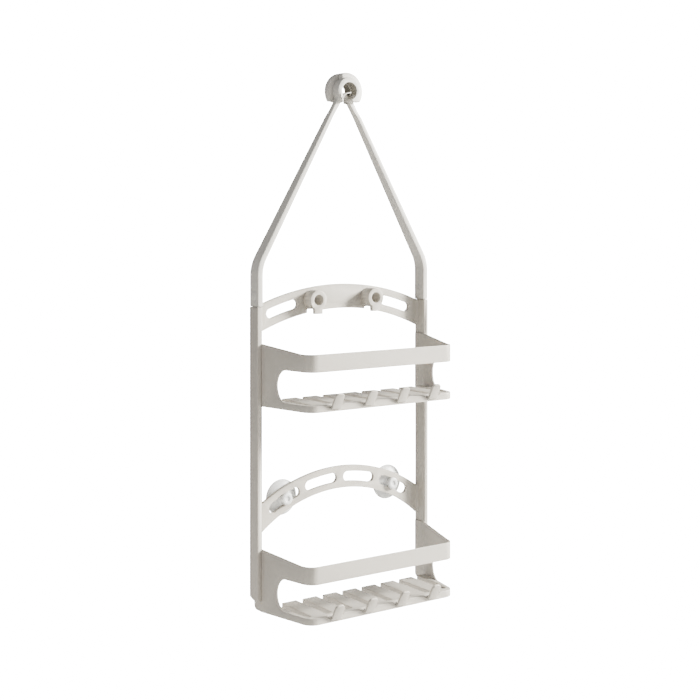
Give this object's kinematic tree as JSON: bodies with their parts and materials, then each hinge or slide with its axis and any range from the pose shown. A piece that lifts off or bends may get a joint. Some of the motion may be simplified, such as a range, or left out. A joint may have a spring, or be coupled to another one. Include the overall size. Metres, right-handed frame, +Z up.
{
  "type": "hanging shower caddy",
  "caption": "Hanging shower caddy: side rails, arched crossbars and slatted baskets, hung from a pipe by two hooked arms and steadied by suction cups.",
  "frame": {"origin": "centre of the collar's bore, in the plane where the front and the rear hook meet", "axes": "+X to the right seen from the front, +Y towards the wall along the pipe, +Z up"},
  "size_m": [0.2716, 0.1224, 0.6799],
  "materials": {
    "frame": "satin moulded polypropylene, light warm grey",
    "arm": "satin moulded plastic, light warm grey",
    "rivet": "satin",
    "liner": "matte",
    "gate": "satin",
    "cup": "clear soft vinyl"
  },
  "bodies": {
    "caddy": {"left_rail": "frame", "right_rail": "frame", "upper_crossbar": "frame", "lower_crossbar": "frame", "left_holder_boss": "frame", "right_holder_boss": "frame", "upper_basket": "frame", "lower_basket": "frame"},
    "left_arm": {"left_hanger_arm": "arm", "left_push_rivet": "rivet", "front_grip_liner": "liner"},
    "right_arm": {"right_hanger_arm": "arm", "right_push_rivet": "rivet", "rear_grip_liner": "liner"},
    "front_gate": {"front_gate": "gate"},
    "rear_gate": {"rear_gate": "gate"},
    "left_cup": {"left_suction_cup": "cup"},
    "right_cup": {"right_suction_cup": "cup"}
  },
  "joints": [
    {"name": "left_arm_flex", "type": "hinge", "parent": "caddy", "child": "left_arm", "pos_m": [-0.13055, 0.0024, -0.2619], "axis": [0, -1, 0], "range_deg": [0, 2.5], "stiffness_Nm_per_rad": 4},
    {"name": "right_arm_flex", "type": "hinge", "parent": "caddy", "child": "right_arm", "pos_m": [0.13055, 0.0024, -0.2619], "axis": [0, 1, 0], "range_deg": [0, 2.5], "stiffness_Nm_per_rad": 4},
    {"name": "front_gate_turn", "type": "hinge", "parent": "left_arm", "child": "front_gate", "pos_m": [-0.0098, -0.0073, -0.008], "axis": [0, 1, 0], "range_deg": [0, 80], "stiffness_Nm_per_rad": 0.02, "springref_deg": -2.86},
    {"name": "rear_gate_turn", "type": "hinge", "parent": "right_arm", "child": "rear_gate", "pos_m": [0.0098, 0.0073, -0.008], "axis": [0, -1, 0], "range_deg": [0, 80], "stiffness_Nm_per_rad": 0.02, "springref_deg": -2.86},
    {"name": "left_cup_slide", "type": "hinge", "parent": "caddy", "child": "left_cup", "pos_m": [0, 0.01, -0.7096], "axis": [0, -1, 0], "range_deg": [-4.4, 4.4]},
    {"name": "right_cup_slide", "type": "hinge", "parent": "caddy", "child": "right_cup", "pos_m": [0, 0.01, -0.7096], "axis": [0, 1, 0], "range_deg": [-4.4, 4.4]}
  ]
}
